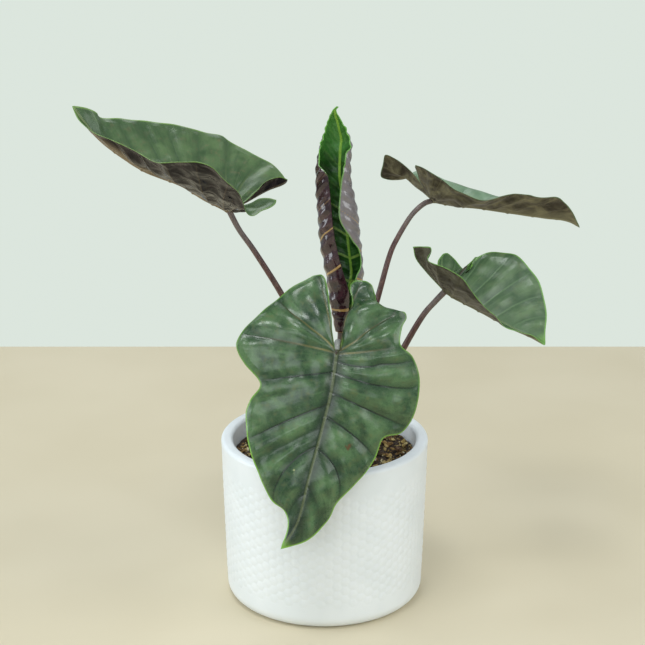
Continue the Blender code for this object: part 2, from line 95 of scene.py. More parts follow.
# Each open leaf. The joint is where the stem meets the blade. Every other point is an offset from it:
# to the right, to the back and up. The halves are the left and right of someone who looks at the
# upper face with the tip away from them. Each half has a rib into its basal lobe, the lobe's inner
# edge along the notch, and its flank from the lobe's end round to the tip. "share" is the part of the
# flank that the lobe's rib serves, and "arch" is how far the half bulges between midrib and edge.
# A vein is (start, end, bend, size): it leaves the spine at the share "start" of its length, from -1 at
# the lobe's end over 0 at the joint to 1 at the tip, and reaches the flank at "end".
LEAVES = {
    "front": {
        "joint": (7, -52, 177),
        "notch": (0, 2, 3),
        "midrib": [
            (-3, -10, -19), (-8, -19, -38), (-12, -25, -52), (-17, -32, -69), (-23, -38, -91),
            (-33, -41, -107),
        ],
        "right": {
            "rib": [(-3, 5, 13), (-6, 13, 26), (-9, 22, 35.5), (-11, 29, 40.3)],
            "inner": [(-2, 7, 13), (-4, 15, 28), (-6, 24, 37.3), (-8.5, 28, 40.2)],
            "flank": [
                (-14, 29, 39.7), (-18, 28, 37.6), (-32, 24, 29.7), (-44, 16, 22.5), (-54, 8, 13.7),
                (-59, 2, 7), (-58, -1, 1), (-54, -4, -5), (-45, -10, -15), (-51, -10, -25), (-54, -12, -34),
                (-52, -18, -50), (-46, -24, -67), (-39, -28, -81), (-31, -32, -87), (-29, -36, -94),
            ],
            "share": 0.36,
            "arch": 3.0,
            "veins": [
                (-0.02, -0.62, 0.6, 0.8), (0.0, -0.17, 0.6, 0.9), (0.09, 0.1, 1.0, 0.9),
                (0.25, 0.37, 1.0, 1.0), (0.37, 0.5, 1.2, 0.3), (0.46, 0.72, 1.6, 0.9),
                (0.7, 0.86, 1.4, 0.4), (0.85, 0.94, 1.2, 0.25),
            ],
        },
        "left": {
            "rib": [(3, 6, 12), (7, 14, 22), (12, 24, 30.3), (15, 30, 36.4)],
            "inner": [(3, 5, 8), (7, 12, 17), (9, 20, 26.7), (8, 27, 33.6), (11, 30, 36.2)],
            "flank": [
                (18.5, 30, 35.6), (21.5, 28, 33.5), (23, 26, 29), (25, 22, 24.7), (31, 17, 24),
                (39, 13, 23), (42, 12, 19), (39, 8, 14), (38, 0, 6), (45, -2, -1), (49, -4, -12),
                (49, -6, -22), (46, -8, -35), (39, -10, -46), (28, -14, -48), (23, -18, -60),
                (11, -24, -73), (1, -30, -82), (-5, -34, -93), (-18, -39, -103),
            ],
            "share": 0.36,
            "arch": 3.0,
            "veins": [
                (-0.02, -0.62, 0.85, 0.8), (0.0, -0.24, 0.9, 0.6), (0.035, -0.1, 2.0, 0.9),
                (0.09, 0.03, 1.6, 1.0), (0.19, 0.165, 1.0, 1.0), (0.31, 0.36, 2.0, 1.0),
                (0.47, 0.62, 2.2, 0.9), (0.66, 0.8, 1.6, 0.35), (0.82, 0.9, 1.3, 0.25),
            ],
        },
    },
    "left": {
        "joint": (-59, 8, 250),
        "notch": (6, 2, 1),
        "midrib": [(-14, 1, 7), (-28, 2, 15), (-49, 3, 23), (-69, 4, 36), (-82, 5, 48), (-92, 6, 62)],
        "right": {
            "rib": [(10, 12, 1), (23, 23, 6), (32, 32, 8), (35, 36, 9)],
            "inner": [(13, 8, 4), (20, 16, 11), (29, 28, 13)],
            "flank": [
                (32, 42, 12), (25, 46, 18), (12, 50, 24), (0, 52, 30), (-6, 52, 34), (-16, 50, 36),
                (-30, 45, 41), (-49, 38, 46), (-64, 30, 49), (-76, 20, 52), (-79, 14, 56), (-85, 9, 60),
            ],
            "share": 0.38,
            "arch": -4.0,
        },
        "left": {
            "rib": [(10, -11, 2), (19, -17, 6), (26, -20, 10), (30, -21, 11)],
            "inner": [(12, -4, 4), (18, -11, 9), (25, -17, 11)],
            "flank": [
                (29, -24, 9), (22, -29, 7), (16, -35, 6), (12, -40, 14), (7, -44, 24), (0, -47, 32),
                (-6, -48, 38), (-14, -46, 40), (-22, -43, 39), (-34, -35, 37), (-43, -27, 36),
                (-55, -16, 40), (-69, -8, 45), (-81, -1, 49), (-88, 3, 55),
            ],
            "share": 0.36,
            "arch": -5.0,
        },
    },
    "upper": {
        "joint": (69, 45, 246),
        "notch": (-3, 1, 2),
        "midrib": [(13, 1, -3), (28, 2, -5), (47, 2, -8), (67, 1, -11), (84, -1, -13), (92, -3, -17)],
        "left": {
            "rib": [(-9, 8, 5.5), (-18, 14, 10.5), (-26, 16, 15), (-32, 17, 18)],
            "inner": [(-8, 5, 9), (-18, 8, 20), (-26, 9, 25), (-31, 10, 26)],
            "flank": [
                (-33, 20, 11), (-30, 22, 9), (-24, 24, 7.5), (-17, 26, 8), (-10, 29, 11), (-1, 35, 8),
                (10, 39, 3), (24, 39, -2), (43, 35, -6), (63, 26, -8), (78, 13, -9), (87, 3, -11),
            ],
            "share": 0.4,
            "arch": -2.0,
        },
        "right": {
            "rib": [(-5, -7, 8), (-8, -13, 16), (-11, -19, 23), (-13, -23, 28)],
            "inner": [(-6, -5, 9), (-10, -11, 16), (-13, -19, 25)],
            "flank": [
                (-9, -27, 27), (-2, -33, 23), (8, -36, 17), (17, -36, 13), (27, -34, 9), (33, -31, 8),
                (40, -28, 10), (49, -25, 11), (56, -23, 10), (62, -21, 8), (74, -17, 7), (80, -12, 2),
                (87, -6, -7),
            ],
            "share": 0.28,
            "arch": -3.0,
        },
    },
    "lower": {
        "joint": (74, -5, 202),
        "notch": (-3, 0, 2),
        "midrib": [(6, -1, -4), (12, -2, -7), (29, -4, -16), (42, -6, -23), (53, -8, -28), (61, -9, -32)],
        "left": {
            "rib": [(-1, 8, 4), (-1, 17, 7), (-1, 25, 11), (0, 31, 14)],
            "inner": [(-3, 9, 5), (-3, 17, 9), (-3, 24, 12)],
            "flank": [
                (3, 32, 14), (7, 30, 11), (11, 23, 8), (14, 18, 8), (18, 21, 11), (22, 26, 14),
                (29, 28, 16), (37, 27, 16), (45, 23, 15), (52, 18, 9), (58, 12, 2), (61, 5, -8),
                (62, -1, -16), (61, -6, -25),
            ],
            "share": 0.25,
            "arch": -2.0,
        },
        "right": {
            "rib": [(-7, -4, 9), (-13, -7, 18), (-17, -10, 26), (-21, -12, 31)],
            "inner": [(-8, -2, 8), (-15, -4, 16), (-19, -7, 24)],
            "flank": [
                (-16, -18, 33), (-11, -23, 34), (-10, -25, 31), (-12, -25, 27), (-9, -28, 26),
                (-3, -33, 25), (7, -34, 19), (13, -32, 11), (19, -28, 2), (27, -22, -8), (37, -16, -19),
                (43, -13, -23), (53, -10, -26),
            ],
            "share": 0.3,
            "arch": -3.0,
        },
    },
}

# Veins of a half that lists none of its own
USUAL_VEINS = [
    (-0.02, -0.66, 0.7, 0.7), (0.0, -0.22, 0.8, 0.8), (0.08, 0.05, 1.5, 0.9), (0.2, 0.22, 1.5, 1.0),
    (0.34, 0.4, 1.8, 0.9), (0.5, 0.6, 2.0, 0.8), (0.67, 0.78, 1.8, 0.6), (0.83, 0.91, 1.5, 0.4),
]

# The rolled leaf, from its tip down. Each row is a slice through the roll: its height, where its
# middle is to the right and to the back, its half width, and how far the left and right halves wrap
# round from the back, in degrees. At 180 an edge is at the front of the roll.
ROLL = [
    (314.0, 7.6, 0.5, 0.5, 60, 60),
    (311.0, 5.6, 0.5, 1.1, 70, 70),
    (303.0, 6.1, 1.0, 4.8, 80, 80),
    (293.4, 6.7, 1.0, 8.4, 88, 92),
    (287.0, 6.0, 1.0, 9.1, 95, 128),
    (280.0, 5.5, 1.0, 9.6, 115, 140),
    (275.0, 5.3, 1.0, 9.9, 155, 148),
    (267.0, 5.5, 1.0, 10.0, 164, 157),
    (249.0, 7.8, 1.0, 11.6, 163, 176),
    (236.0, 9.1, 1.0, 11.7, 165, 149),
    (221.0, 10.9, 1.0, 11.4, 172, 108),
    (209.0, 12.4, 1.0, 10.8, 182, 146),
    (200.0, 11.8, 1.0, 8.8, 200, 135),
    (191.0, 11.0, 0.5, 6.8, 212, 125),
    (182.0, 10.5, 0.0, 5.0, 216, 120),
    (174.0, 10.2, 0.0, 3.4, 214, 118),
]
ROLL_FLATTENING = 0.9
ROLL_VEIN_SPACING = 14.5
ROLL_MIDRIB_ANGLE = 22.0
ROLL_ROWS = 300
ROLL_COLUMNS = 190

# Stems from the crown up, with the radius at the foot, at three tenths of the way and at the top
STEMS = {
    "front": {
        "path": [
            (7, -6.2, 98), (7.5, -12, 122), (8, -24, 152), (8, -35, 174), (8, -41, 180.5),
            (7.8, -45.5, 181), (7.4, -48.3, 177.9),
        ],
        "radii": (2.8, 2.2, 1.7),
    },
    "left": {
        "path": [
            (0.9, -0.6, 98), (-1, 0, 115), (-6, 1.5, 145), (-15, 3, 173), (-27, 5, 197), (-43, 7, 223),
            (-52, 8, 236), (-58.3, 8, 248.6),
        ],
        "radii": (2.8, 2.1, 1.6),
    },
    "upper": {
        "path": [
            (10, 5.4, 98), (14, 6.5, 115), (20, 10, 135), (28, 17, 169), (35, 24, 194), (41, 31, 214),
            (46, 35, 224), (53, 39, 235), (58, 41, 240.5), (63, 43, 244), (67.4, 44.6, 245.1),
        ],
        "radii": (2.8, 2.0, 1.5),
    },
    "lower": {
        "path": [
            (13.1, -1, 98), (22, -2.5, 113), (37, -4, 140), (49, -5, 165), (60, -5, 185), (68, -5, 195),
            (73.2, -5, 200.8),
        ],
        "radii": (2.8, 2.2, 1.7),
    },
    "new": {
        "path": [(7, 0, 98), (7.4, 0, 120), (8.6, 0, 150), (10.2, 0, 172.6), (10.4, 0, 178)],
        "radii": (2.6, 2.4, 2.0),
    },
}
SHEATH_WIDENING = 1.1
SHEATH_HEIGHT = 9.0
# How much each stem widens again where it meets its blade
SWELLING = {"front": 0.9, "left": 0.2, "upper": 0.2, "lower": 0.2, "new": 0.5}
STEM_SIDES = 28
STEM_RINGS = 160

# The looks of each blade, as linear colours
BLADE_LOOKS = {
    "front": {
        "dark": (0.012, 0.043, 0.015), "light": (0.096, 0.184, 0.074), "brown": (0.130, 0.145, 0.045),
        "vein": (0.006, 0.018, 0.007), "rib": (0.21, 0.20, 0.07), "margin": (0.20, 0.44, 0.05),
        "under_dark": (0.09, 0.085, 0.08), "under_light": (0.22, 0.22, 0.20),
        "under_vein": (0.22, 0.20, 0.10),
        "quilt": 1.5, "gloss": 0.27, "under_gloss": 0.4, "keel_tan": 0.5, "rim": 0.45, "seed": 3,
        "folds": 0.6, "tip": 0.75,
        "midrib": (0.082, 0.105, 0.042),
        "spots": [
            ((0.0140, -0.0729, 0.1269), 2.2, (0.11, 0.05, 0.015)),
            ((-0.0178, -0.0804, 0.1139), 0.9, (0.34, 0.36, 0.18)),
        ],
    },
    "left": {
        "dark": (0.034, 0.082, 0.026), "light": (0.105, 0.180, 0.068), "brown": (0.155, 0.135, 0.06),
        "vein": (0.045, 0.095, 0.035), "rib": (0.13, 0.18, 0.06), "margin": (0.17, 0.30, 0.07),
        "under_dark": (0.005, 0.003, 0.004), "under_light": (0.026, 0.017, 0.017),
        "under_vein": (0.22, 0.16, 0.09),
        "quilt": 1.6, "gloss": 0.36, "under_gloss": 0.19, "keel_tan": 0.95, "rim": 0.6, "seed": 8,
        "folds": 0.3, "tip": 0.1,
        "midrib": (0.12, 0.17, 0.06),
    },
    "upper": {
        "dark": (0.13, 0.22, 0.13), "light": (0.24, 0.36, 0.23), "brown": (0.20, 0.24, 0.13),
        "vein": (0.10, 0.17, 0.10), "rib": (0.24, 0.30, 0.17), "margin": (0.13, 0.19, 0.09),
        "under_dark": (0.045, 0.036, 0.022), "under_light": (0.250, 0.225, 0.130),
        "under_vein": (0.24, 0.22, 0.13),
        "quilt": 1.5, "gloss": 0.42, "under_gloss": 0.42, "keel_tan": 0.5, "rim": 0.6, "seed": 13,
        "folds": 0.3, "tip": 0.1,
        "midrib": (0.20, 0.26, 0.14),
    },
    "lower": {
        "dark": (0.038, 0.086, 0.038), "light": (0.130, 0.210, 0.100), "brown": (0.13, 0.16, 0.075),
        "vein": (0.105, 0.18, 0.085), "rib": (0.20, 0.29, 0.12), "margin": (0.17, 0.36, 0.08),
        "under_dark": (0.040, 0.036, 0.024), "under_light": (0.130, 0.125, 0.085),
        "under_vein": (0.20, 0.19, 0.11),
        "quilt": 1.3, "gloss": 0.34, "under_gloss": 0.4, "keel_tan": 0.3, "rim": 0.7, "seed": 21,
        "folds": 0.3, "tip": 0.9,
        "midrib": (0.14, 0.21, 0.09),
    },
}

# Camera, light and floor, in metres, degrees and watts. A light is its place, size, power and colour.
CAMERA_PLACE = (-0.0013, -1.053, 0.530)
CAMERA_TILT = 71.58
CAMERA_LENS = 100.5
LIGHTS = {
    "window": ((-1.4, -0.05, 0.45), (0.6, 1.2), 9.0, (0.88, 0.95, 1.0)),
    "front": ((-0.4, -1.85, 1.0), (1.8, 1.0), 13.0, (0.93, 0.99, 1.0)),
    "skylight": ((-0.3, -0.55, 1.55), (0.5, 0.4), 7.0, (0.96, 1.0, 1.0)),
    "right": ((1.3, -0.5, 0.9), (1.0, 1.0), 9.0, (0.97, 1.0, 1.0)),
    "back": ((-0.2, 1.1, 1.3), (1.2, 0.7), 6.0, (0.95, 1.0, 0.99)),
}
LIGHT_TARGET = (0.0, 0.0, 0.16)
FLOOR_HALF_WIDTH = 0.6
FLOOR_FRONT = -0.75
FLOOR_BACK = 0.47
SURROUND_SEEN = ((0.905, 1.0, 0.92), 0.79)
SURROUND_LIGHT = ((0.92, 1.0, 1.0), 0.37)


# ---- Curves and surfaces -------------------------------------------------------------------------


def along(points, shares):
    """Points on a smooth curve through the given points, at these shares of its length."""
    given = np.array(points, float)
    ends = np.vstack([2 * given[0] - given[1], given, 2 * given[-1] - given[-2]])
    steps = np.linspace(0, 1, 16, endpoint=False)[:, None]
    runs = []
    for before, start, end, after in zip(ends, ends[1:], ends[2:], ends[3:]):
        slope_in = (end - before) / 2
        slope_out = (after - start) / 2
        runs.append(
            (2 * steps**3 - 3 * steps**2 + 1) * start
            + (steps**3 - 2 * steps**2 + steps) * slope_in
            + (3 * steps**2 - 2 * steps**3) * end
            + (steps**3 - steps**2) * slope_out
        )
    line = np.vstack([*runs, given[-1:]])
    length = np.concatenate([[0], np.cumsum(np.linalg.norm(np.diff(line, axis=0), axis=1))])
    return np.stack([np.interp(np.asarray(shares) * length[-1], length, axis) for axis in line.T], axis=1)


def length_of(points):
    return float(np.linalg.norm(np.diff(np.array(points, float), axis=0), axis=1).sum())


def waves(points, size, seed):
    """Smooth waves of about this size over the points, from -1 to 1."""
    chooser = np.random.default_rng(seed)
    total = np.zeros(len(points))
    for _ in range(6):
        direction = chooser.normal(size=3)
        direction /= np.linalg.norm(direction)
        wavelength = size * chooser.uniform(0.7, 1.6)
        total += np.sin(points @ direction * 2 * math.pi / wavelength + chooser.uniform(0, 2 * math.pi))
    return total / 3.5


def hump(distance, width):
    """1 at no distance, falling smoothly to 0 over about twice the width."""
    return np.exp(-((distance / width) ** 2))


def nearest(points, lines):
    """For each point, its distance to the nearest of the lines, and that line's own values there.

    A line is its points, close together, with a row of values for each."""
    places = np.vstack([line for line, _ in lines])
    values = np.vstack([value for _, value in lines])
    tree = KDTree(len(places))
    for number, place in enumerate(places):
        tree.insert(place, number)
    tree.balance()
    found = [tree.find(point)[1:] for point in points]
    number = np.array([pair[0] for pair in found])
    distance = np.array([pair[1] for pair in found])
    return distance, values[number].T


def grid_faces(rows, columns, start=0, flip=False):
    """The quads of a grid of points, numbered row by row."""
    i, j = np.meshgrid(np.arange(rows - 1), np.arange(columns - 1), indexing="ij")
    corner = start + i * columns + j
    quads = np.stack([corner, corner + 1, corner + columns + 1, corner + columns], axis=-1).reshape(-1, 4)
    return quads[:, ::-1] if flip else quads


def ring_quads(rings, steps):
    """The quads of a tube of closed rings, numbered ring by ring."""
    i, j = np.meshgrid(np.arange(rings - 1), np.arange(steps), indexing="ij")
    after = (j + 1) % steps
    here, above = i * steps, (i + 1) * steps
    return np.stack([here + j, here + after, above + after, above + j], axis=-1).reshape(-1, 4)


# ---- Pieces --------------------------------------------------------------------------------------


def add_object(name, data):
    made = bpy.data.objects.new(name, data)
    bpy.context.scene.collection.objects.link(made)
    return made


def keep_values(mesh, values):
    """Keeps each list of values at the mesh's points, under its name."""
    for key, value in values.items():
        value = np.asarray(value, np.float32).ravel()
        mesh.attributes.new(key, "FLOAT", "POINT").data.foreach_set("value", value)


def add_piece(name, points, faces, finishes, fields=None, face_finish=None):
    """A smooth mesh piece from points in millimetres, with values at its points for its materials."""
    mesh = bpy.data.meshes.new(name)
    mesh.from_pydata((np.asarray(points) * MM).tolist(), [], [tuple(face) for face in faces])
    keep_values(mesh, fields or {})
    for finish in finishes:
        mesh.materials.append(finish)
    if face_finish is not None:
        mesh.polygons.foreach_set("material_index", np.asarray(face_finish, np.int32))
    mesh.shade_smooth()
    return add_object(name, mesh)


def settle(piece, slot, *nodes):
    """The piece rides with the plant and stands for the CAD nodes, which it hides. The slot is not used."""
    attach(piece, "root")
    if nodes:
        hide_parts(*nodes)


# ---- Materials -----------------------------------------------------------------------------------


class Finish:
    """A material in the making, with short words for the nodes that the finishes below share.

    A value may be a number, a node's output, or the name of a value kept at the mesh's points."""

    def __init__(self, name, constants=None):
        self.material = bpy.data.materials.new(name)
        self.material.use_nodes = True
        self.tree = self.material.node_tree
        self.shader = self.tree.nodes["Principled BSDF"]
        self.colour = None
        self.normal = None
        for key, value in (constants or {}).items():
            self.shader.inputs[key].default_value = value

    def node(self, kind, inputs=None, output=0, **settings):
        made = self.tree.nodes.new("ShaderNode" + kind)
        for key, value in settings.items():
            setattr(made, key, value)
        for key, value in (inputs or {}).items():
            self.feed(made.inputs[key], value)
        return made.outputs[output]

    def feed(self, socket, value):
        if isinstance(value, str):
            value = self.node("Attribute", output=2, attribute_name=value)
        if isinstance(value, bpy.types.NodeSocket):
            self.tree.links.new(value, socket)
        elif socket.type == "RGBA":
            socket.default_value = (*value, 1.0)
        else:
            socket.default_value = value

    def place(self, stretch=(1.0, 1.0, 1.0)):
        """Where the surface is, in metres, with each axis stretched."""
        return self.node("Mapping", {0: self.node("TexCoord", output=3), 3: stretch})

    def noise(self, size, detail=3.0, rough=0.55, at=None, warp=0.0):
        """Soft clouds of this size in millimetres, or in units of "at" where that is given."""
        scale = 1.0 / size if at is not None else 1.0 / (size * MM)
        inputs = {"Vector": at if at is not None else self.place(), "Scale": scale, "Detail": detail}
        inputs.update({"Roughness": rough, "Distortion": warp})
        return self.node("TexNoise", inputs)

    def math(self, operation, first, second):
        return self.node("Math", {0: first, 1: second}, operation=operation)

    def times(self, first, second):
        return self.math("MULTIPLY", first, second)

    def ease(self, value, start, end, low=0.0, high=1.0):
        """Low up to start, high from end on, and smooth between them."""
        inputs = {0: value, 1: start, 2: end, 3: low, 4: high}
        return self.node("MapRange", inputs, interpolation_type="SMOOTHSTEP")

    def line(self, distance, width, size=1.0):
        """The size on a line and 0 beside it, from the distance to the line in millimetres."""
        return self.times(self.ease(distance, width * 0.45, width, 1.0, 0.0), size)

    def mix(self, share, first, second):
        return self.node("Mix", {0: share, 6: first, 7: second}, output=2, data_type="RGBA")

    def blend(self, value, start, end, dark, light):
        """The first coat: dark where the value is low and light where it is high."""
        self.colour = self.mix(self.ease(value, start, end), dark, light)

    def paint(self, share, colour):
        """This share of a colour over what is there."""
        self.colour = self.mix(share, self.colour, colour)

    def shade(self, value, start, end, low, high, colour):
        """A colour over what is there, whose share goes from low to high as the value rises."""
        self.paint(self.ease(value, start, end, low, high), colour)

    def bump(self, height, depth):
        """A bump of this depth in millimetres, on top of those made before."""
        inputs = {"Height": height, "Distance": depth * MM, "Strength": 1.0}
        if self.normal is not None:
            inputs["Normal"] = self.normal
        self.normal = self.node("Bump", inputs)

    def done(self, roughness):
        self.feed(self.shader.inputs["Base Color"], self.colour)
        self.feed(self.shader.inputs["Roughness"], roughness)
        if self.normal is not None:
            self.feed(self.shader.inputs["Normal"], self.normal)
        return self.material


def glaze_finish():
    made = Finish("matt_white_glaze")
    made.blend(made.noise(28, detail=2), 0.35, 0.65, (0.80, 0.845, 0.875), (0.84, 0.88, 0.91))
    made.shade(made.noise(0.9, detail=2), 0.70, 0.78, 0.0, 0.25, (0.62, 0.62, 0.58))
    made.bump(made.noise(1.6, detail=4), 0.05)
    return made.done(made.ease(made.noise(9), 0.3, 0.7, 0.36, 0.48))


def earth_finish():
    made = Finish("soil_crumb")
    crumbs = made.noise(2.2, detail=6, rough=0.7)
    made.blend(crumbs, 0.35, 0.65, (0.018, 0.011, 0.007), (0.075, 0.042, 0.022))
    made.bump(crumbs, 0.9)
    return made.done(made.ease(crumbs, 0.3, 0.7, 0.95, 0.8))


def grain_finish():
    """Bits of bark, coir and pumice. "shade" picks one bit's own colour."""
    made = Finish("soil_bits")
    ramp = made.tree.nodes.new("ShaderNodeValToRGB")
    while len(ramp.color_ramp.elements) < len(GRAIN_COLOURS):
        ramp.color_ramp.elements.new(0.5)
    for element, (place, colour) in zip(ramp.color_ramp.elements, GRAIN_COLOURS):
        element.position = place
        element.color = (*colour, 1.0)
    made.feed(ramp.inputs[0], "shade")
    made.colour = ramp.outputs[0]
    streaks = made.noise(1.1, detail=5, rough=0.7)
    made.shade(streaks, 0.4, 0.75, 0.0, 0.45, (0.03, 0.018, 0.011))
    made.bump(streaks, 0.35)
    return made.done(made.ease(streaks, 0.3, 0.7, 0.72, 0.92))


def chip_finish(name, dark, light, size):
    made = Finish(name)
    layers = made.noise(size, detail=6, rough=0.65, warp=0.6)
    made.blend(layers, 0.32, 0.68, dark, light)
    pits = made.node("TexVoronoi", {"Vector": made.place(), "Scale": 1.0 / (size * 0.8 * MM)})
    made.shade(pits, 0.0, 0.25, 0.5, 0.0, (0.03, 0.018, 0.01))
    made.bump(layers, 0.4)
    return made.done(made.ease(layers, 0.3, 0.7, 0.92, 0.75))


def crown_finish():
    made = Finish("crown_sheaths")
    fibres = made.noise(1.0, detail=5, rough=0.6, at=made.place((900.0, 900.0, 90.0)))
    made.blend(fibres, 0.3, 0.7, (0.055, 0.028, 0.016), (0.24, 0.15, 0.085))
    made.bump(fibres, 0.3)
    return made.done(0.8)


def stem_finish():
    """Purple brown stalk, greener at the foot, with a painted grey sheen towards the blade; "rise" runs from
    0 to 1.
    """
    made = Finish("stalk_skin")
    streaks = made.noise(1.0, detail=4, at=made.place((700.0, 700.0, 60.0)))
    mottle = made.noise(4.0, detail=4)
    made.blend(streaks, 0.3, 0.7, (0.060, 0.026, 0.026), (0.135, 0.062, 0.050))
    made.shade(mottle, 0.45, 0.7, 0.0, 0.35, (0.17, 0.12, 0.085))
    made.shade("rise", 0.0, 0.3, 0.55, 0.0, (0.10, 0.12, 0.05))
    # Painted sheen: grey near the top of the stalk, where its arch reflects the light
    made.paint(made.times("painted_sheen", made.ease("rise", 0.75, 0.93)), (0.30, 0.31, 0.29))
    made.bump(streaks, 0.12)
    return made.done(made.ease(mottle, 0.3, 0.7, 0.34, 0.5))


def strands(made):
    """Fine strands that run with the side veins."""
    course = made.node("CombineXYZ", {0: made.times("vein_at", 9.0), 1: made.times("out_mm", 0.07)})
    return made.noise(1.0, detail=4, rough=0.6, at=course, warp=0.3)


def blade_top_finish(name, look):
    made = Finish("blade_top_" + name, {"Specular IOR Level": 0.6})
    mottle = made.noise(3.6, detail=5, rough=0.6)
    strand = strands(made)
    made.blend(made.noise(15, detail=5, warp=0.5), 0.25, 0.72, look["dark"], look["light"])
    made.shade(mottle, 0.5, 0.75, 0.0, 0.5, look["brown"])
    made.shade(mottle, 0.25, 0.46, 0.35, 0.0, look["dark"])
    made.shade(strand, 0.5, 0.72, 0.0, 0.45, look["light"])
    made.shade(strand, 0.3, 0.46, 0.45, 0.0, look["dark"])
    # Painted shade: darker within 4.5 mm of the sunken side veins, so the quilted bulges between them look
    # lit
    made.shade("vein_mm", 0.4, 4.5, 0.6, 0.0, look["dark"])
    made.paint(made.line("vein_mm", 0.66, made.ease("vein_size", 0.05, 0.6)), look["vein"])
    made.paint(made.line("vein_mm", 0.8, "vein_pale"), look["rib"])
    # Painted shade: the trough along the midrib, darkened with the vein colour over 8 mm on each side
    made.shade("mid_mm", 1.0, 8.0, 0.8, 0.0, look["vein"])
    made.paint(made.line("mid_mm", 1.1), look["midrib"])
    margin = made.ease("edge_mm", 0.4, 1.2, 1.0, 0.0)
    made.paint(made.times(margin, made.ease("mid_at", 0.0, 0.6, look["rim"], 1.0)), look["margin"])
    made.shade("tip_mm", 1.5, 9.0, look["tip"], 0.0, look["margin"])
    for place, size, colour in look.get("spots", ()):
        distance = made.node("VectorMath", {0: made.place(), 1: place}, output=1, operation="DISTANCE")
        tatters = made.ease(made.noise(1.3, detail=4), 0.3, 0.7, -1.2 * MM, 1.2 * MM)
        made.shade(made.math("ADD", distance, tatters), size * 0.6 * MM, size * MM, 0.9, 0.0, colour)
    made.bump(strand, 0.12)
    made.bump(made.noise(9.0, detail=1, warp=0.3), 0.2)
    made.bump(made.noise(1.4, detail=3), 0.04)
    return made.done(made.ease(mottle, 0.3, 0.7, look["gloss"] - 0.04, look["gloss"] + 0.08))


def blade_under_finish(name, look):
    made = Finish("blade_under_" + name, {"Specular IOR Level": 0.22})
    clouds = made.noise(11, detail=5, warp=0.5)
    strand = strands(made)
    made.blend(clouds, 0.4, 0.75, look["under_dark"], look["under_light"])
    made.shade(strand, 0.5, 0.75, 0.0, 0.35, look["under_light"])
    made.shade(strand, 0.3, 0.44, 0.5, 0.0, look["under_dark"])
    made.shade("mid_mm", 3.0, 10.0, 0.9 * look["keel_tan"], 0.0, look["under_vein"])
    made.paint(made.times(made.line("vein_mm", 0.6, "vein_size"), 0.4), look["under_vein"])
    made.paint(made.line("mid_mm", 1.9), look["under_vein"])
    made.shade("edge_mm", 0.2, 0.8, 1.0, 0.0, look["margin"])
    made.bump(strand, 0.04)
    made.bump(made.noise(8.0, detail=1, warp=0.5), 1.5)
    return made.done(made.ease(clouds, 0.3, 0.7, look["under_gloss"] - 0.05, look["under_gloss"] + 0.12))


def green_edge(made):
    """1 where the rolled leaf's margin is green: all of the right one, and the left one near the tip."""
    return made.math("MAXIMUM", made.ease("rise", 0.70, 0.76), made.ease("turn", -0.05, 0.05))


def roll_outside_finish():
    """The rolled leaf's underside: glossy purple brown, with a painted silvery reflection of the sky on its
    right flap. "turn" is -1 to 1.
    """
    made = Finish("roll_outside", {"Specular IOR Level": 0.4, "Coat Weight": 0.8, "Coat Roughness": 0.1})
    clouds = made.noise(7, detail=4, warp=0.6)
    strand = strands(made)
    made.blend(clouds, 0.35, 0.7, (0.017, 0.004, 0.008), (0.056, 0.020, 0.027))
    made.shade(strand, 0.5, 0.75, 0.0, 0.25, (0.12, 0.075, 0.07))
    # Painted reflection: the right flap turns silvery grey for the sky that it reflects at a grazing angle
    made.shade("turn", 0.15, 0.4, 0.0, 0.8, (0.22, 0.20, 0.205))
    made.shade("rise", 0.72, 0.9, 0.0, 0.6, (0.21, 0.18, 0.21))
    made.paint(made.line("vein_mm", 0.45, "vein_size"), (0.42, 0.26, 0.09))
    made.paint(made.line("mid_mm", 2.0), (0.26, 0.17, 0.09))
    margin = made.ease("edge_mm", 0.3, 1.0, 1.0, 0.0)
    made.paint(made.times(margin, green_edge(made)), (0.16, 0.30, 0.09))
    made.bump(made.noise(4.0, detail=1, warp=0.3), 0.35)
    made.bump(strand, 0.05)
    return made.done(made.ease(clouds, 0.3, 0.7, 0.15, 0.24))


def roll_inside_finish():
    """The rolled leaf's upper face: deep green down in the roll, brighter green near the tip as painted light
    shining through it.
    """
    made = Finish("roll_inside")
    strand = strands(made)
    made.blend(made.noise(6, detail=4, warp=0.5), 0.3, 0.7, (0.010, 0.050, 0.008), (0.035, 0.14, 0.02))
    # Painted light: brighter green near the tip, as light shining through the thin leaf
    made.shade("rise", 0.72, 0.85, 0.0, 0.65, (0.09, 0.31, 0.06))
    made.shade(strand, 0.5, 0.75, 0.0, 0.4, (0.13, 0.30, 0.08))
    made.paint(made.line("vein_mm", 0.9, "vein_size"), (0.24, 0.40, 0.08))
    made.shade("edge_mm", 0.8, 5.0, 0.55, 0.0, (0.10, 0.33, 0.04))
    made.paint(made.line("mid_mm", 1.1), (0.27, 0.50, 0.06))
    edge = made.mix(green_edge(made), (0.045, 0.020, 0.020), (0.14, 0.37, 0.06))
    made.shade("edge_mm", 0.2, 0.8, 1.0, 0.0, edge)
    made.bump(made.noise(3.5, detail=3), 0.5)
    made.bump(strand, 0.3)
    return made.done(0.34)


# ---- Pot, soil and crown -------------------------------------------------------------------------


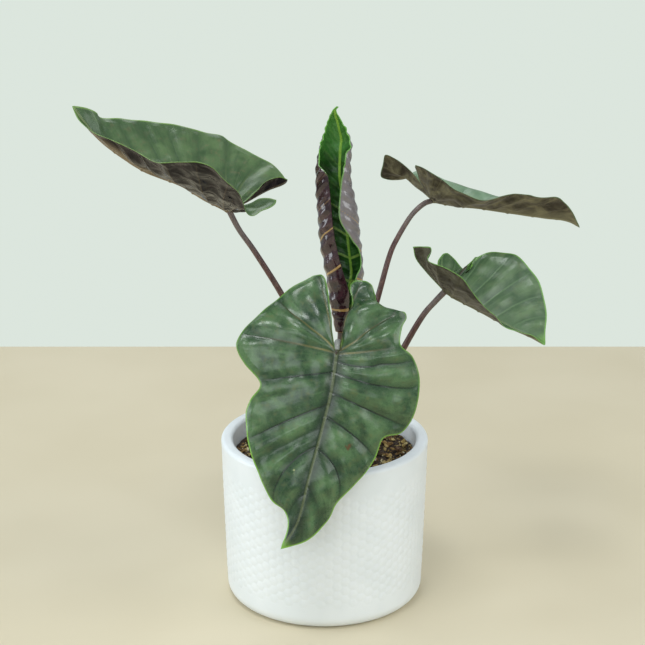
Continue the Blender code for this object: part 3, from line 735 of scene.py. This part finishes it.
def revolved(profile, steps):
    """Points and faces of a body turned from a profile of (radius, height) with both ends on the axis."""
    profile = np.asarray(profile, float)
    angles = np.linspace(0, 2 * math.pi, steps, endpoint=False)
    ring = np.stack([np.cos(angles), np.sin(angles)], axis=1)
    inner = profile[1:-1]
    flat = inner[:, None, :1] * ring[None, :, :]
    points = np.concatenate([flat, np.repeat(inner[:, None, 1:], steps, axis=1)], axis=2).reshape(-1, 3)
    faces = np.roll(ring_quads(len(inner), steps), -1, axis=1).tolist()
    first, last = len(points), len(points) + 1
    points = np.vstack([points, [0, 0, profile[0, 1]], [0, 0, profile[-1, 1]]])
    bottom = (len(inner) - 1) * steps
    faces += [((a + 1) % steps, a, first) for a in range(steps)]
    faces += [(bottom + a, bottom + (a + 1) % steps, last) for a in range(steps)]
    return points, faces


def rounded(centre, radius, start, end, points):
    """A round corner of the profile, between two angles in degrees."""
    angles = np.radians(np.linspace(start, end, points))
    return [(centre[0] + radius * math.cos(a), centre[1] + radius * math.sin(a)) for a in angles]


def outer_radius(height):
    return POT_BOTTOM_RADIUS + (POT_TOP_RADIUS - POT_BOTTOM_RADIUS) * height / POT_HEIGHT


def inner_radius(height):
    return outer_radius(height) - WALL


def soil_height(x, y):
    """The soil's surface: level at the wall and a little higher towards the middle."""
    share = np.minimum(1.0, np.hypot(x, y) / inner_radius(SOIL_LEVEL))
    return SOIL_LEVEL + SOIL_CROWNING * (1 - share**2)


def honeycomb(points):
    """How far the honeycomb stands out at each point: low rounded cells, whole ones only."""
    column = np.arctan2(points[:, 1], points[:, 0]) / (2 * math.pi) * CELLS_ROUND
    width = 2 * math.pi * np.hypot(points[:, 0], points[:, 1]) / CELLS_ROUND
    best = np.full(len(points), CELL_HEIGHT)
    whole = np.zeros(len(points), bool)
    for number in (np.floor(column), np.floor(column) + 1):
        offset = np.where(number % 2 == 0, 0.0, 0.5)
        centre = (np.round(points[:, 2] / CELL_HEIGHT - offset) + offset) * CELL_HEIGHT
        sideways = np.abs(column - number) * width
        upright = np.abs(points[:, 2] - centre)
        distance = np.maximum(upright, sideways * math.cos(math.pi / 6) + upright * 0.5)
        closer = distance < best
        best = np.where(closer, distance, best)
        whole = np.where(closer, (centre > CELL_BAND[0]) & (centre < CELL_BAND[1]), whole)
    share = np.clip(best / (CELL_HEIGHT / 2), 0, 1)
    return np.where(whole, CELL_DEPTH * (1 - share**2.5), 0.0) - CELL_DEPTH / 2 * whole


def make_pot():
    rim = POT_HEIGHT - RIM_ROUNDING
    corner = inner_radius(FLOOR) - FOOT_ROUNDING
    profile = [(0, FLOOR)]
    profile += [(radius, FLOOR) for radius in np.linspace(4, corner - 2, 8)]
    profile += rounded((corner, FLOOR + FOOT_ROUNDING), FOOT_ROUNDING, -90, 0, 8)
    heights = np.linspace(FLOOR + FOOT_ROUNDING + 4, rim - 2, 12)
    profile += [(inner_radius(height), height) for height in heights]
    profile += rounded((POT_TOP_RADIUS - WALL + RIM_ROUNDING, rim), RIM_ROUNDING, 180, 90, 7)
    profile += rounded((POT_TOP_RADIUS - RIM_ROUNDING, rim), RIM_ROUNDING, 90, 0, 7)
    wall = np.arange(rim - 1, FOOT_ROUNDING + 0.5, -CELL_HEIGHT / STEPS_PER_CELL)
    profile += [(outer_radius(height), height) for height in wall]
    foot = outer_radius(FOOT_ROUNDING) - FOOT_ROUNDING
    profile += rounded((foot, FOOT_ROUNDING), FOOT_ROUNDING, 0, -90, 10)
    profile += [(radius, 0) for radius in np.linspace(foot - 4, 6, 6)]
    profile += [(0, 0)]
    points, faces = revolved(profile, CELLS_ROUND * STEPS_PER_CELL)
    radius = np.hypot(points[:, 0], points[:, 1])
    outside = (radius > outer_radius(points[:, 2]) - 0.01) & (points[:, 2] < rim - 0.5)
    relief = np.where(outside, honeycomb(points), 0.0)
    points[:, :2] *= (1 + relief / np.maximum(radius, 1.0))[:, None]
    pot = add_piece("pot_glazed", points, faces, [glaze_finish()])
    settle(pot, "pot_glaze", "pot")


def make_soil():
    edge = inner_radius(SOIL_LEVEL) - 0.3
    profile = [(radius, float(soil_height(radius, 0))) for radius in np.linspace(0, edge, 70)]
    profile += [(edge, SOIL_LEVEL - SOIL_DEPTH), (0, SOIL_LEVEL - SOIL_DEPTH)]
    points, faces = revolved(profile, 260)
    top = points[:, 2] > SOIL_LEVEL - 1
    lumps = 0.9 * waves(points, 9, 2) + 0.5 * waves(points, 3.5, 4) + 0.3 * waves(points, 1.7, 6)
    points[:, 2] += np.where(top, lumps - 0.6, 0.0)
    soil = add_piece("soil_bed", points, faces, [earth_finish()])
    settle(soil, "soil_mix", "soil")


def taken_from(bm):
    """The points, normals and faces of a mesh being edited, which ends here."""
    points = np.array([vert.co[:] for vert in bm.verts])
    normals = np.array([vert.normal[:] for vert in bm.verts])
    faces = [[vert.index for vert in face.verts] for face in bm.faces]
    bm.free()
    return points, normals, faces


def turned_at_random(chooser, points):
    """The points, turned by a random rotation."""
    axes, _ = np.linalg.qr(chooser.normal(size=(3, 3)))
    axes[:, 0] *= np.sign(np.linalg.det(axes))
    return points @ axes.T


def make_grains():
    """Loose bits of the mix, each an uneven splinter with its own shade."""
    chooser = np.random.default_rng(GRAIN_SEED)
    bm = bmesh.new()
    bmesh.ops.create_icosphere(bm, subdivisions=1, radius=1.0)
    unit, _, unit_faces = taken_from(bm)
    reach = inner_radius(SOIL_LEVEL) - 0.5
    points, faces, shades = [], [], []
    while len(points) < GRAIN_COUNT:
        size = GRAIN_SIZE[0] + (GRAIN_SIZE[1] - GRAIN_SIZE[0]) * chooser.random() ** 2.2
        angle = chooser.uniform(0, 2 * math.pi)
        radius = (reach - size / 2) * math.sqrt(chooser.random())
        x, y = radius * math.cos(angle), radius * math.sin(angle)
        if math.hypot(x - CROWN_CENTRE[0], y - CROWN_CENTRE[1]) < CROWN_RADIUS:
            continue
        bit = unit * chooser.uniform(0.72, 1.12, size=(len(unit), 1))
        bit = bit * [chooser.uniform(0.5, 0.75), chooser.uniform(0.3, 0.5), chooser.uniform(0.2, 0.42)] * size
        bit = turned_at_random(chooser, bit) * [1, 1, 0.75]
        height = float(soil_height(x, y)) + chooser.uniform(-0.5, 0.9)
        faces.append(np.array(unit_faces) + len(unit) * len(points))
        points.append(bit + [x, y, height])
        shades.append(np.full(len(unit), chooser.random()))
    shades = np.concatenate(shades)
    grains = add_piece("soil_bits", np.vstack(points), np.vstack(faces), [grain_finish()], {"shade": shades})
    grains.data.set_sharp_from_angle(angle=math.radians(35))
    settle(grains, "soil_mix")


def make_chunks(nodes):
    """The loose chunks, each from its CAD solid with a broken, layered surface."""
    bark = chip_finish("bark_chip", (0.045, 0.022, 0.012), (0.20, 0.11, 0.055), 1.6)
    pumice = chip_finish("pumice_chip", (0.36, 0.29, 0.20), (0.60, 0.53, 0.42), 1.1)
    names = sorted(name for name in nodes if name.startswith("chunk_"))
    for number, name in enumerate(names, start=1):
        bm = bmesh.new()
        bm.from_mesh(nodes[name].data)
        bmesh.ops.remove_doubles(bm, verts=bm.verts, dist=0.01 * MM)
        bmesh.ops.subdivide_edges(bm, edges=bm.edges, cuts=CHUNK_CUTS, use_grid_fill=True)
        bmesh.ops.recalc_face_normals(bm, faces=bm.faces)
        bm.normal_update()
        points, normals, faces = taken_from(bm)
        points /= MM
        rough = 0.16 * waves(points, 2.2, number) + 0.10 * waves(points * [1, 1, 3], 1.0, number + 50) - 0.12
        finish, slot = (pumice, "chunk_pumice") if number % PUMICE_EVERY == 0 else (bark, "chunk_bark")
        chunk = add_piece("loose_" + name, points + normals * rough[:, None], faces, [finish])
        settle(chunk, slot, name)


def crown_top():
    return float(soil_height(*CROWN_CENTRE)) + CROWN_ABOVE_SOIL


def make_crown():
    """The stem base: old leaf sheaths, ribbed and a little frayed at the top."""
    ground = float(soil_height(*CROWN_CENTRE))
    profile = [(0, crown_top() - 0.6), (2, crown_top() - 0.5), (5, crown_top() - 0.4)]
    profile += rounded((CROWN_RADIUS - 1.6, crown_top() - 1.7), 1.5, 90, 0, 6)
    profile += [(CROWN_RADIUS - 0.1, height) for height in np.linspace(crown_top() - 2.2, ground - 3, 14)]
    profile += [(0, ground - 3)]
    points, faces = revolved(profile, 180)
    radius = np.hypot(points[:, 0], points[:, 1])
    angle = np.arctan2(points[:, 1], points[:, 0])
    ribs = 0.35 * np.sin(angle * 34 + points[:, 2] * 0.3) + 0.3 * waves(points, 4, 9)
    share = np.clip(radius / CROWN_RADIUS, 0, 1)
    points[:, :2] *= (1 + (ribs - 0.35) / CROWN_RADIUS * share)[:, None]
    points += [CROWN_CENTRE[0], CROWN_CENTRE[1], 0]
    crown = add_piece("crown_sheaths", points, faces, [crown_finish()])
    settle(crown, "crown_skin", "crown")


# ---- Stems ---------------------------------------------------------------------------------------


def make_stem(name, stem, finish):
    """A stalk that widens to a sheath at its foot and has a shallow channel down its upper side."""
    shares = np.linspace(0, 1, STEM_RINGS)
    path = along(stem["path"], shares)
    foot = path[:, 2] < crown_top()
    path[foot, 2] = np.linspace(crown_top() - 1.0, crown_top(), max(1, foot.sum()))
    radii = np.interp(shares, [0, 0.3, 1], stem["radii"])
    from_crown = np.maximum(0, path[:, 2] - crown_top())
    radii += SHEATH_WIDENING * np.exp(-from_crown / SHEATH_HEIGHT)
    radii += SWELLING[name] * np.clip((shares - 0.9) * 12, 0, 1)
    forward = np.gradient(path, axis=0)
    forward /= np.linalg.norm(forward, axis=1, keepdims=True)
    side = np.array([0.0, 1.0, 0.0])
    angles = np.linspace(0, 2 * math.pi, STEM_SIDES, endpoint=False)
    rings = []
    for place, ahead, radius, share in zip(path, forward, radii, shares):
        side = side - ahead * (side @ ahead)
        side /= np.linalg.norm(side)
        other = np.cross(ahead, side)
        channel = 1 - 0.16 * np.exp(-((np.sin(angles / 2) / 0.35) ** 2)) * (1 - 0.6 * share)
        uneven = 1 + 0.02 * np.sin(angles * 5 + share * 9)
        reach = radius * channel * uneven
        turned = np.cos(angles)[:, None] * side + np.sin(angles)[:, None] * other
        rings.append(place + reach[:, None] * turned)
    points = np.vstack(rings)
    faces = ring_quads(STEM_RINGS, STEM_SIDES).tolist()
    faces.append(tuple(range(STEM_SIDES))[::-1])
    faces.append(tuple((STEM_RINGS - 1) * STEM_SIDES + k for k in range(STEM_SIDES)))
    fields = {
        "rise": np.repeat(shares, STEM_SIDES),
        # Painted grey sheen: full on the front stalk, a quarter as strong on the others
        "painted_sheen": np.full(len(points), 1.0 if name == "front" else 0.25),
    }
    stalk = add_piece("stalk_" + name, points, faces, [finish], fields)
    settle(stalk, "petiole_skin", "petiole_" + name)


# ---- Blades --------------------------------------------------------------------------------------


def ruled(spine, edge, columns, arch):
    """Rows of points from the spine to the edge, raised between them by the arch."""
    across = np.linspace(0, 1, columns)
    rows = spine[:, None] + (edge - spine)[:, None] * across[None, :, None]
    forward = np.gradient(spine + edge, axis=0)
    outward = edge - spine
    up = np.cross(outward, forward)
    up /= np.maximum(np.linalg.norm(up, axis=1, keepdims=True), 1e-6)
    widest = np.linalg.norm(outward, axis=1).max()
    share = np.linalg.norm(outward, axis=1) / widest
    rise = arch * (share**1.5)[:, None] * (4 * across * (1 - across))[None, :]
    return rows + up[:, None] * rise[:, :, None]


def half_patches(leaf, half, side):
    """The two grids of one half: the blade outside the ribs, and the lobe's inner edge."""
    joint = np.zeros(3)
    tip = leaf["midrib"][-1]
    lobe_end = half["rib"][-1]
    rib_rows = int(length_of([joint, *half["rib"]]) / CELL)
    midrib_rows = int(length_of([joint, *leaf["midrib"]]) / CELL)
    lobe = along([joint, *half["rib"]], np.linspace(0, 1, rib_rows + 1))
    midrib = along([joint, *leaf["midrib"]], np.linspace(0, 1, midrib_rows + 1))
    spine = np.vstack([lobe[::-1], midrib[1:]])
    spine_at = np.concatenate([np.linspace(-1, 0, rib_rows + 1), np.linspace(0, 1, midrib_rows + 1)[1:]])
    rib_shares = half["share"] * np.linspace(0, 1, rib_rows + 1)
    midrib_shares = half["share"] + (1 - half["share"]) * np.linspace(0, 1, midrib_rows + 1)[1:] ** 0.8
    flank = along([lobe_end, *half["flank"], tip], np.concatenate([rib_shares, midrib_shares]))
    inner = along([leaf["notch"], *half["inner"], lobe_end], np.linspace(0, 1, rib_rows + 1))
    columns = int(np.linalg.norm(flank - spine, axis=1).max() / CELL)
    outer_grid = ruled(spine, flank, columns, half["arch"] * side)
    inner_columns = max(4, int(np.linalg.norm(inner - lobe, axis=1).max() / CELL))
    inner_grid = ruled(lobe, inner, inner_columns, 0.0)
    return outer_grid, inner_grid, spine_at


def vein_course(vein, across):
    """Where a vein is along the spine, at each share of the way out to the flank."""
    start, end, bend, _ = vein
    return start + (end - start) * across**bend


def vein_lines(grid, spine_at, veins):
    """The points of each side vein on the grid, with its size, which tapers outwards, and its paleness."""
    lines = []
    rows, columns = grid.shape[:2]
    for vein in veins:
        across = np.linspace(0, VEIN_REACH, VEIN_POINTS)
        row = np.interp(vein_course(vein, across), spine_at, np.arange(rows))
        column = across * (columns - 1)
        i = np.minimum(row.astype(int), rows - 2)
        j = np.minimum(column.astype(int), columns - 2)
        down, out = (row - i)[:, None], (column - j)[:, None]
        upper = grid[i, j] * (1 - out) + grid[i, j + 1] * out
        lower = grid[i + 1, j] * (1 - out) + grid[i + 1, j + 1] * out
        basal = 1.0 if vein[1] < -0.15 else 0.0
        values = np.stack([vein[3] * (1 - 0.75 * across), basal * (1 - across) ** 2], axis=1)
        lines.append((upper * (1 - down) + lower * down, values))
    return lines


def vein_numbers(grid, spine_at, veins):
    """A number that rises by one from vein to vein, over the whole grid."""
    columns = grid.shape[1]
    numbers = []
    for across in np.linspace(0, 1, columns):
        places = sorted(vein_course(vein, across) for vein in veins)
        places = [-1.1, *places, 1.05]
        numbers.append(np.interp(spine_at, places, np.arange(len(places))))
    return np.stack(numbers, axis=1)


def middle_surface(leaf):
    """The blade's middle surface with its grid values, and the lines of its midrib, veins and margin."""
    points, faces, numbers, outward = [], [], [], []
    veins, margins = [], []
    count = 0
    for side in ("right", "left"):
        half = leaf[side]
        courses = half.get("veins", USUAL_VEINS)
        outer, inner, spine_at = half_patches(leaf, half, 1 if side == "right" else -1)
        veins += vein_lines(outer, spine_at, courses)
        rib = inner[:, 0]
        veins.append((rib, np.linspace((1.0, 1.0), (0.3, 0.0), len(rib))))
        margins += [outer[:, -1], inner[:, -1]]
        for grid, number in (
            (outer, vein_numbers(outer, spine_at, courses)),
            (inner, np.repeat(np.linspace(*LOBE_STRANDS, inner.shape[0])[:, None], inner.shape[1], axis=1)),
        ):
            rows, columns = grid.shape[:2]
            faces.append(grid_faces(rows, columns, count, flip=side == "left"))
            points.append(grid.reshape(-1, 3))
            numbers.append(number.ravel())
            outward.append(np.linalg.norm(grid - grid[:, :1], axis=2).ravel())
            count += rows * columns
    midrib = along([(0, 0, 0), *leaf["midrib"]], np.linspace(0, 1, MIDRIB_POINTS))
    values = {"vein_at": np.concatenate(numbers), "out_mm": np.concatenate(outward)}
    return np.vstack(points), np.vstack(faces), values, midrib, veins, np.vstack(margins)


def read_values(items, key, count):
    values = np.empty(count, np.float32)
    items.foreach_get(key, values)
    return values


def welded(points, faces, values):
    """The surface with coinciding points joined, its normals, and its values kept."""
    mesh = bpy.data.meshes.new("weld")
    mesh.from_pydata(points.tolist(), [], faces.tolist())
    keep_values(mesh, values)
    bm = bmesh.new()
    bm.from_mesh(mesh)
    bmesh.ops.remove_doubles(bm, verts=bm.verts, dist=0.01)
    bm.to_mesh(mesh)
    bm.free()
    count = len(mesh.vertices)
    joined = read_values(mesh.vertices, "co", count * 3).reshape(-1, 3).astype(float)
    normals = read_values(mesh.vertex_normals, "vector", count * 3).reshape(-1, 3).astype(float)
    kept = {key: read_values(mesh.attributes[key].data, "value", count) for key in values}
    joined_faces = [tuple(face.vertices) for face in mesh.polygons]
    bpy.data.meshes.remove(mesh)
    return joined, normals, joined_faces, kept


def open_edges(faces):
    """The directed edges that belong to one face only."""
    seen = {}
    for face in faces:
        for start, end in zip(face, face[1:] + face[:1]):
            key = (min(start, end), max(start, end))
            seen[key] = None if key in seen else (start, end)
    return [edge for edge in seen.values() if edge is not None]


def add_sheet(name, middle, normals, faces, above, below, finishes, fields):
    """A thin blade: an upper skin, a lower skin and a rim between them."""
    count = len(middle)
    points = np.vstack([middle + normals * above[:, None], middle - normals * below[:, None]])
    lower = [tuple(corner + count for corner in reversed(face)) for face in faces]
    rim = [(end, start, start + count, end + count) for start, end in open_edges(faces)]
    both = {key: np.tile(value, 2) for key, value in fields.items()}
    which = [0] * len(faces) + [1] * len(lower) + [0] * len(rim)
    return add_piece(name, points, [*faces, *lower, *rim], finishes, both, which)


def make_open_blade(name, leaf, look):
    """A blade quilted between its veins, rippled, fluttering at its margin and folded in its lobes."""
    points, faces, values, midrib, veins, margin = middle_surface(leaf)
    points, normals, faces, values = welded(points, faces, values)
    vein_mm, (vein_size, vein_pale) = nearest(points, veins)
    mid_mm, (mid_at,) = nearest(points, [(midrib, np.linspace(0, 1, len(midrib))[:, None])])
    edge_mm, _ = nearest(points, [(margin, np.zeros((len(margin), 1)))])
    inland = np.clip(edge_mm / 4, 0, 1)
    quilt = look["quilt"] * (1 - hump(vein_mm, 4.5)) * (1 - hump(mid_mm, 5.0)) * inland
    ripple = 0.9 * waves(points, 30, look["seed"]) + 0.45 * waves(points, 11, look["seed"] + 1) * inland
    ripple *= np.clip(0.2 + mid_mm / 12, 0, 1)
    flutter = 0.6 * waves(points, 17, look["seed"] + 2) * np.clip(1 - edge_mm / 9, 0, 1)
    basal = np.clip(2 - np.abs(values["vein_at"]), 0, 1) * np.clip(values["out_mm"] / 12, 0, 1) * inland
    folds = look["folds"] * np.sin(4 * math.pi * values["vein_at"]) * basal
    middle = points + normals * (quilt + ripple + flutter + folds - 0.5 * look["quilt"])[:, None]
    thickness = BLADE_THICKNESS / 2 * (0.45 + 0.55 * np.clip(edge_mm / 1.5, 0, 1))
    groove = 0.35 * hump(mid_mm, 0.9) + 0.34 * vein_size * hump(vein_mm, 0.65)
    keel = (1.3 - 1.1 * mid_at) * hump(mid_mm, 1.3) + 0.45 * vein_size * hump(vein_mm, 0.7)
    fields = {
        "vein_mm": vein_mm,
        "vein_size": vein_size,
        "vein_pale": vein_pale,
        "mid_mm": mid_mm,
        "mid_at": mid_at,
        "edge_mm": edge_mm,
        "tip_mm": np.linalg.norm(points - midrib[-1], axis=1),
        **values,
    }
    finishes = [blade_top_finish(name, look), blade_under_finish(name, look)]
    joint = np.array(leaf["joint"], float)
    blade = add_sheet(
        "leaf_" + name, middle + joint, normals, faces, thickness - groove, thickness + keel, finishes, fields
    )
    settle(blade, "blade_skin", "blade_" + name)


def make_rolled_blade():
    """The youngest leaf: its upper face is inside the roll."""
    slices = along(ROLL, np.linspace(0, 1, ROLL_ROWS))
    top, bottom = ROLL[0][0], ROLL[-1][0]
    height, right, back, half_width, left_wrap, right_wrap = slices.T[:, :, None]
    turns = np.linspace(-left_wrap[:, 0], right_wrap[:, 0], ROLL_COLUMNS, axis=1)
    across = right + half_width * np.sin(np.radians(turns))
    depth = back + ROLL_FLATTENING * half_width * np.cos(np.radians(turns))
    heights = np.broadcast_to(height, turns.shape)
    points = np.stack([across, depth, heights], axis=-1).reshape(-1, 3)
    rise = (heights - bottom) / (top - bottom)
    slope = np.interp(rise, [0.1, 0.45, 1.0], [0.0, 0.13, 0.2])
    number = (heights - slope * np.abs(turns - ROLL_MIDRIB_ANGLE)) / ROLL_VEIN_SPACING
    off_vein = np.abs(number - np.round(number)) * ROLL_VEIN_SPACING * 0.85
    off_half = np.abs(number * 2 - np.round(number * 2)) * ROLL_VEIN_SPACING / 2
    mid_mm = np.abs(np.radians(turns - ROLL_MIDRIB_ANGLE)) * half_width
    edge_mm = np.radians(np.minimum(turns - turns[:, :1], turns[:, -1:] - turns)) * half_width
    values = {
        "vein_at": number * 2,
        "out_mm": mid_mm,
        "vein_mm": off_vein,
        "half_mm": off_half,
        "vein_size": np.interp(rise, [0.45, 0.62], [1.0, 0.12]),
        "mid_mm": mid_mm,
        "edge_mm": edge_mm,
        "rise": rise,
        "turn": turns / 180,
    }
    faces = grid_faces(ROLL_ROWS, ROLL_COLUMNS, flip=True)
    points, normals, faces, values = welded(points, faces, values)
    inland = np.clip(values["edge_mm"] / 3, 0, 1)
    bulge = (1 - hump(values["half_mm"], 2.4)) * (1 - hump(values["mid_mm"], 3)) * inland
    crinkle = 0.35 * waves(points, 9, 31) + 0.12 * waves(points, 4, 32)
    near_edge = np.clip(1 - values["edge_mm"] / 3, 0, 1)
    frill = 0.7 * waves(points, 4, 33) * near_edge * np.clip(values["rise"] * 8 - 5.5, 0, 1)
    slim = np.clip(values["rise"] * 12, 0.15, 1) * np.clip((1 - values["rise"]) * 12, 0.1, 1)
    middle = points - normals * ((bulge + crinkle * 0.8 + frill) * slim)[:, None]
    thickness = np.full(len(points), BLADE_THICKNESS / 2)
    groove = 0.2 * hump(values["mid_mm"], 0.9) + 0.15 * hump(values["vein_mm"], 0.6)
    keel = (0.9 * hump(values["mid_mm"], 1.2) + 0.35 * hump(values["vein_mm"], 0.7)) * slim
    finishes = [roll_inside_finish(), roll_outside_finish()]
    above, below = thickness - groove, thickness + keel
    blade = add_sheet("leaf_new", middle, normals, faces, above, below, finishes, values)
    settle(blade, "young_blade_skin", "blade_new")


# ---- Camera, light and floor ---------------------------------------------------------------------


def add_camera():
    data = bpy.data.cameras.new("camera")
    data.sensor_width = 36.0
    data.lens = CAMERA_LENS
    camera = add_object("camera", data)
    camera.location = CAMERA_PLACE
    camera.rotation_euler = (math.radians(CAMERA_TILT), 0, 0)
    bpy.context.scene.camera = camera


def add_softbox(name, place, size, power, colour):
    data = bpy.data.lights.new(name, "AREA")
    data.shape = "RECTANGLE"
    data.size, data.size_y = size
    data.energy = power
    data.color = colour
    lamp = add_object(name, data)
    lamp.location = place
    aim = np.array(LIGHT_TARGET) - np.array(place)
    across = math.hypot(aim[0], aim[1])
    lamp.rotation_euler = (math.atan2(across, -aim[2]), 0, math.atan2(aim[1], aim[0]) - math.pi / 2)


def plain_finish(name, colour, other):
    made = Finish(name)
    made.blend(made.noise(160, detail=2), 0.3, 0.7, colour, other)
    return made.done(0.6)


def add_stage():
    """A plain pale floor that ends behind the plant, and a pale surround."""
    mesh = bpy.data.meshes.new("floor")
    front = [(-FLOOR_HALF_WIDTH, FLOOR_FRONT, 0), (FLOOR_HALF_WIDTH, FLOOR_FRONT, 0)]
    back = [(FLOOR_HALF_WIDTH, FLOOR_BACK, 0), (-FLOOR_HALF_WIDTH, FLOOR_BACK, 0)]
    mesh.from_pydata(front + back, [], [(0, 1, 2, 3)])
    mesh.materials.append(plain_finish("pale_floor", (0.66, 0.58, 0.42), (0.70, 0.62, 0.46)))
    floor = add_object("floor", mesh)
    world = bpy.data.worlds.new("surround")
    bpy.context.scene.world = world
    world.use_nodes = True
    tree = world.node_tree
    seen = tree.nodes["Background"]
    lit = tree.nodes.new("ShaderNodeBackground")
    for background, (colour, strength) in ((seen, SURROUND_SEEN), (lit, SURROUND_LIGHT)):
        background.inputs["Color"].default_value = (*colour, 1.0)
        background.inputs["Strength"].default_value = strength
    ray = tree.nodes.new("ShaderNodeLightPath")
    blend = tree.nodes.new("ShaderNodeMixShader")
    tree.links.new(ray.outputs["Is Camera Ray"], blend.inputs[0])
    tree.links.new(lit.outputs[0], blend.inputs[1])
    tree.links.new(seen.outputs[0], blend.inputs[2])
    tree.links.new(blend.outputs[0], tree.nodes["World Output"].inputs["Surface"])


def main():
    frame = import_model()
    bpy.context.scene.view_settings.view_transform = "Standard"
    add_camera()
    add_stage()
    for name, light in LIGHTS.items():
        add_softbox(name, *light)
    make_pot()
    make_soil()
    make_grains()
    make_chunks(frame["nodes"])
    make_crown()
    stalk = stem_finish()
    for name, stem in STEMS.items():
        make_stem(name, stem, stalk)
    for name, leaf in LEAVES.items():
        make_open_blade(name, leaf, BLADE_LOOKS[name])
    make_rolled_blade()


main()
